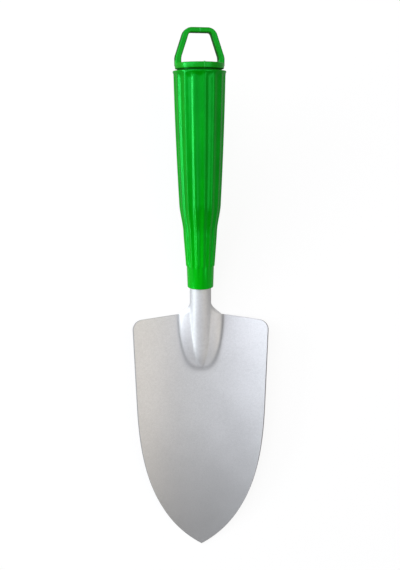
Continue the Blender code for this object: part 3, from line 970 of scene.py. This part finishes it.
def handle_profile():
    """Points (radius, height, fluted) from the bore's lower end up the outside and back down the inside."""
    low = Vector((COLLAR_D / 2, 0.0))
    collar_top = Vector((COLLAR_TOP_D / 2, COLLAR_LENGTH - FLUTE_RUN_OUT))
    outer = rounded(Vector((BORE_R, 0.0)), low, collar_top, RIM_ROUND, ROUND_STEPS)
    points = [(point.x, point.y, 0.0) for point in outer + [collar_top]]
    top = HANDLE_LENGTH - RIM_BAND
    for i in range(GRIP_STATIONS + 1):
        at = between(COLLAR_LENGTH, top, i / GRIP_STATIONS)
        points.append((grip_radius(at), at, ease((top - at) / TOP_FADE)))
    rim = Vector((RIM_D / 2, HANDLE_LENGTH))
    points.append((rim.x, top + RIM_ROUND, 0.0))
    inside = Vector((LIP_R, HANDLE_LENGTH))
    rim_arc = rounded(Vector((rim.x, top)), rim, inside, RIM_ROUND, ROUND_STEPS)
    lip_low = Vector((LIP_R, HANDLE_LENGTH - LIP_HEIGHT))
    mouth_arc = rounded(rim, inside, lip_low, RIM_ROUND, ROUND_STEPS)
    points += [(point.x, point.y, 0.0) for point in rim_arc + mouth_arc]
    cavity_low = grip_radius(STOP_AT + STOP_THICKNESS) - FLUTE_DEPTH - HANDLE_WALL
    inner = (
        (LIP_R, HANDLE_LENGTH - LIP_HEIGHT),
        (MOUTH_R, HANDLE_LENGTH - LIP_HEIGHT - LIP_CATCH),
        (cavity_low, STOP_AT + STOP_THICKNESS),
        (STOP_HOLE_D / 2, STOP_AT + STOP_THICKNESS),
        (STOP_HOLE_D / 2, STOP_AT),
        (BORE_R, STOP_AT),
        (BORE_R, 0.0),
    )
    points += [(radius, height, 0.0) for radius, height in inner]
    return points + points[:1]


handle = turned("handle_moulding", handle_profile(), columns=FLUTES * COLUMNS_PER_FLUTE, flutes=FLUTES,
                depth=FLUTE_DEPTH, finish=GRIP_GREEN, place=on_axis(-HANDLE_LENGTH))
handle.data.set_sharp_from_angle(angle=SHARP_ANGLE)
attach(handle, "tool")
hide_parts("handle")

# %% [markdown]
# The hanger's disc and hub
#
# The hanger is a disc with a split hub below it and a loop above it, all one moulding. The disc and the hub
# are turned with the same tree as the handle, this time without flutes. The hub is a thin sleeve with a
# bead at its end, which snaps behind the lip in the handle's mouth and lets the hanger turn there.

# %% Hanger disc and hub
STANDOFF = 1.0 * MM
DISC_D = 27.0 * MM
DISC_THICKNESS = 3.1 * MM
DISC_ROUND = 0.5 * MM
DISC_COLUMNS = 128
SPACER_WIDTH = 2.4 * MM
HUB_WALL = 1.8 * MM
BEAD_CATCH = 0.45 * MM
BEAD_HEIGHT = 1.3 * MM
LEAD_IN = 1.6 * MM
HUB_R = LIP_R - CLEARANCE
DISC_TOP = STANDOFF + DISC_THICKNESS
BEAD_TOP = -(LIP_HEIGHT + LIP_CATCH)
BEAD_LOW = BEAD_TOP - BEAD_HEIGHT
HUB_END = BEAD_LOW - LEAD_IN
BEAD_R = LIP_R + BEAD_CATCH


def disc_profile():
    """Points (radius, height, 0), from the inside of the hub down, round the bead, and over the disc."""
    low = Vector((DISC_D / 2, STANDOFF))
    high = Vector((DISC_D / 2, DISC_TOP))
    under = rounded(Vector((0.0, STANDOFF)), low, high, DISC_ROUND, ROUND_STEPS)
    over = rounded(low, high, Vector((0.0, DISC_TOP)), DISC_ROUND, ROUND_STEPS)
    hub = (
        (0.0, STANDOFF),
        (HUB_R - HUB_WALL, STANDOFF),
        (HUB_R - HUB_WALL, HUB_END),
        (HUB_R - CLEARANCE, HUB_END),
        (BEAD_R, BEAD_LOW),
        (BEAD_R, BEAD_TOP),
        (HUB_R, BEAD_TOP + BEAD_CATCH),
        (HUB_R, CLEARANCE),
        (HUB_R + SPACER_WIDTH, CLEARANCE),
        (HUB_R + SPACER_WIDTH, STANDOFF),
    )
    points = list(hub) + [(point.x, point.y) for point in under + over] + [(0.0, DISC_TOP)]
    return [(radius, height, 0.0) for radius, height in points]


hanger = turned("hanger_moulding", disc_profile(), columns=DISC_COLUMNS, flutes=0, depth=0.0,
                finish=HANGER_GREEN, place=Matrix.Identity(4))

# %% [markdown]
# The hanger's loop
#
# The loop is a strap that follows an outer and an inner line, so it is skinned from cross-sections: each is
# a rectangle with well-rounded corners, because the real strap has a bright face with soft dark edges. Its
# feet start inside the disc and spread in a small fillet on top of it, as a mould leaves them.

# %% Hanger loop
LOOP_HEIGHT = 22.35 * MM
LOOP_WIDTH = 27.35 * MM
LOOP_BEND_AT = 6.95 * MM
LOOP_LEAN = math.radians(19.3)
LOOP_THICKNESS = 5.4 * MM
LIMB_WIDTH = 3.3 * MM
BAR_WIDTH = 2.7 * MM
LOOP_CORNER_R = 5.5 * MM
EYE_CORNER_R = 1.7 * MM
BEND_R = 6.0 * MM
STRAP_ROUND = 0.85 * MM
FOOT_FILLET = 0.9 * MM
CORNER_STEPS = 10


def loop_line(half_width, top, corner_r, foot):
    """Right half of one edge of the loop, from its foot up and over to the middle of the bar."""
    bend = Vector((half_width, LOOP_BEND_AT))
    lean = Vector((-math.sin(LOOP_LEAN), math.cos(LOOP_LEAN)))
    corner = line_crossing(bend, lean, Vector((0.0, top)), Vector((-1.0, 0.0)))
    start = Vector((half_width, foot))
    knee = rounded(start, bend, corner, BEND_R, CORNER_STEPS // 2)
    return knee + rounded(bend, corner, Vector((0.0, top)), corner_r, CORNER_STEPS)


def strap_section(outer, inner):
    """A rounded rectangle from the outer line to the inner one, as deep as the strap."""
    across = (inner - outer).normalized()
    width = (inner - outer).length
    half_depth = LOOP_THICKNESS / 2
    corners = ((width, half_depth, 0), (0.0, half_depth, 1), (0.0, -half_depth, 2), (width, -half_depth, 3))
    found = []
    for reach, depth, number in corners:
        centre_reach = STRAP_ROUND if reach == 0.0 else width - STRAP_ROUND
        centre_depth = math.copysign(half_depth - STRAP_ROUND, depth)
        for i in range(ROUND_STEPS + 1):
            angle = math.pi / 2 * (number + i / ROUND_STEPS)
            out = centre_reach + STRAP_ROUND * math.cos(angle)
            deep = centre_depth + STRAP_ROUND * math.sin(angle)
            spot = outer + across * out
            found.append(Vector((spot.x, deep, spot.y)))
    return found


def loop_mesh():
    """The strap, whose feet start inside the disc and spread in a fillet on top of it."""
    foot = STANDOFF + DISC_THICKNESS / 2
    outside = LOOP_WIDTH / 2
    inside = outside - LIMB_WIDTH
    outer = loop_line(outside, LOOP_HEIGHT, LOOP_CORNER_R, foot)
    inner = loop_line(inside, LOOP_HEIGHT - BAR_WIDTH, EYE_CORNER_R, foot)
    feet = [(foot, FOOT_FILLET)]
    for i in range(ROUND_STEPS + 1):
        angle = math.pi / 2 * i / ROUND_STEPS
        rise = FOOT_FILLET * (1 - math.cos(angle))
        feet.append((DISC_TOP - CLEARANCE / 2 + rise, FOOT_FILLET * (1 - math.sin(angle))))
    pairs = [(Vector((outside, height)), Vector((inside - spread, height))) for height, spread in feet]
    pairs += zip(outer, inner)
    pairs += [(Vector((-one.x, one.y)), Vector((-other.x, other.y))) for one, other in reversed(pairs)]
    built = bmesh.new()
    rings = [[built.verts.new(point) for point in strap_section(one, other)] for one, other in pairs]
    for lower, upper in zip(rings, rings[1:]):
        for i in range(len(lower)):
            after = (i + 1) % len(lower)
            built.faces.new((lower[i], lower[after], upper[after], upper[i]))
    built.faces.new(rings[0])
    built.faces.new(rings[-1])
    bmesh.ops.recalc_face_normals(built, faces=built.faces)
    return mesh_of("loop", built)


print("the loop's eye is", round((LOOP_WIDTH - 2 * LIMB_WIDTH) / MM, 2), "mm wide at its foot")

# %% [markdown]
# One moulding
#
# The real hanger comes out of its mould in one piece, so the loop is joined to the disc with a Boolean, and
# so is the little stub where the plastic came in. Two crossed slots are cut through the hub, which let its
# bead spring past the handle's lip. Last, each vertex notes how far it is from the mould's parting line and
# how much painted shade it takes, which is most on the loop's side faces and in the groove under the disc.

# %% Hanger: join and cut
NUB_R = 0.55 * MM
SLOTS = 2
SLOT_WIDTH = 1.8 * MM
HANGER_TURN = math.radians(12.0)


def slot_mesh(number):
    """A bar across the hub, which cuts one of its two slots."""
    reach = BEAD_R + CLEARANCE
    top = -CLEARANCE
    low = HUB_END - CLEARANCE
    built = bmesh.new()
    bmesh.ops.create_cube(built, size=1.0)
    size = Matrix.Diagonal((2 * reach, SLOT_WIDTH, top - low, 1.0))
    place = Matrix.Translation((0.0, 0.0, (top + low) / 2))
    turn = Matrix.Rotation(math.pi / 4 + number * math.pi / SLOTS, 4, "Z")
    bmesh.ops.transform(built, matrix=turn @ place @ size, verts=built.verts)
    return mesh_of("slot", built)


def combine(piece, mesh, operation):
    """Join a mesh to a piece or cut it out, and leave a plain mesh."""
    mesh.materials.append(HANGER_GREEN)
    other = new_piece("other", mesh)
    step = piece.modifiers.new("combined", "BOOLEAN")
    step.operation = operation
    step.solver = "EXACT"
    step.object = other
    make_plain(piece)
    bpy.data.objects.remove(other, do_unlink=True)


def nub_mesh():
    """The trimmed stub of the mould's gate, half sunk into the front of the disc's upper edge."""
    built = bmesh.new()
    bmesh.ops.create_uvsphere(built, u_segments=16, v_segments=10, radius=NUB_R)
    place = Matrix.Translation((0.0, NUB_R - DISC_D / 2, DISC_TOP - DISC_ROUND / 2))
    bmesh.ops.transform(built, matrix=place, verts=built.verts)
    return mesh_of("nub", built)


def shaded(vert):
    """0 in the open, 1 on the loop's side faces and in the groove under the disc, where shade is painted."""
    if vert.co.z > DISC_TOP + FOOT_FILLET:
        return 1 - abs(vert.normal.y)
    under_disc = vert.co.xy.length < DISC_D / 2 - DISC_ROUND / 2
    return 1.0 if under_disc and CLEARANCE / 2 < vert.co.z < STANDOFF + CLEARANCE else 0.0


def note(piece, name, values):
    """Write one number on each vertex of a piece, for its material."""
    piece.data.attributes.new(name, "FLOAT", "POINT").data.foreach_set("value", values)


combine(hanger, loop_mesh(), "UNION")
combine(hanger, nub_mesh(), "UNION")
for number in range(SLOTS):
    combine(hanger, slot_mesh(number), "DIFFERENCE")
note(hanger, "aside", [vert.co.x for vert in hanger.data.vertices])
# Painted shade: 1 on the loop's side faces and in the groove under the disc.
note(hanger, "shade", [shaded(vert) for vert in hanger.data.vertices])
hanger.data.transform(on_axis(0.0, HANGER_TURN))
hanger.data.shade_smooth()
hanger.data.set_sharp_from_angle(angle=SHARP_ANGLE)
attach(hanger, "hanger")
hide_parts("hanger")
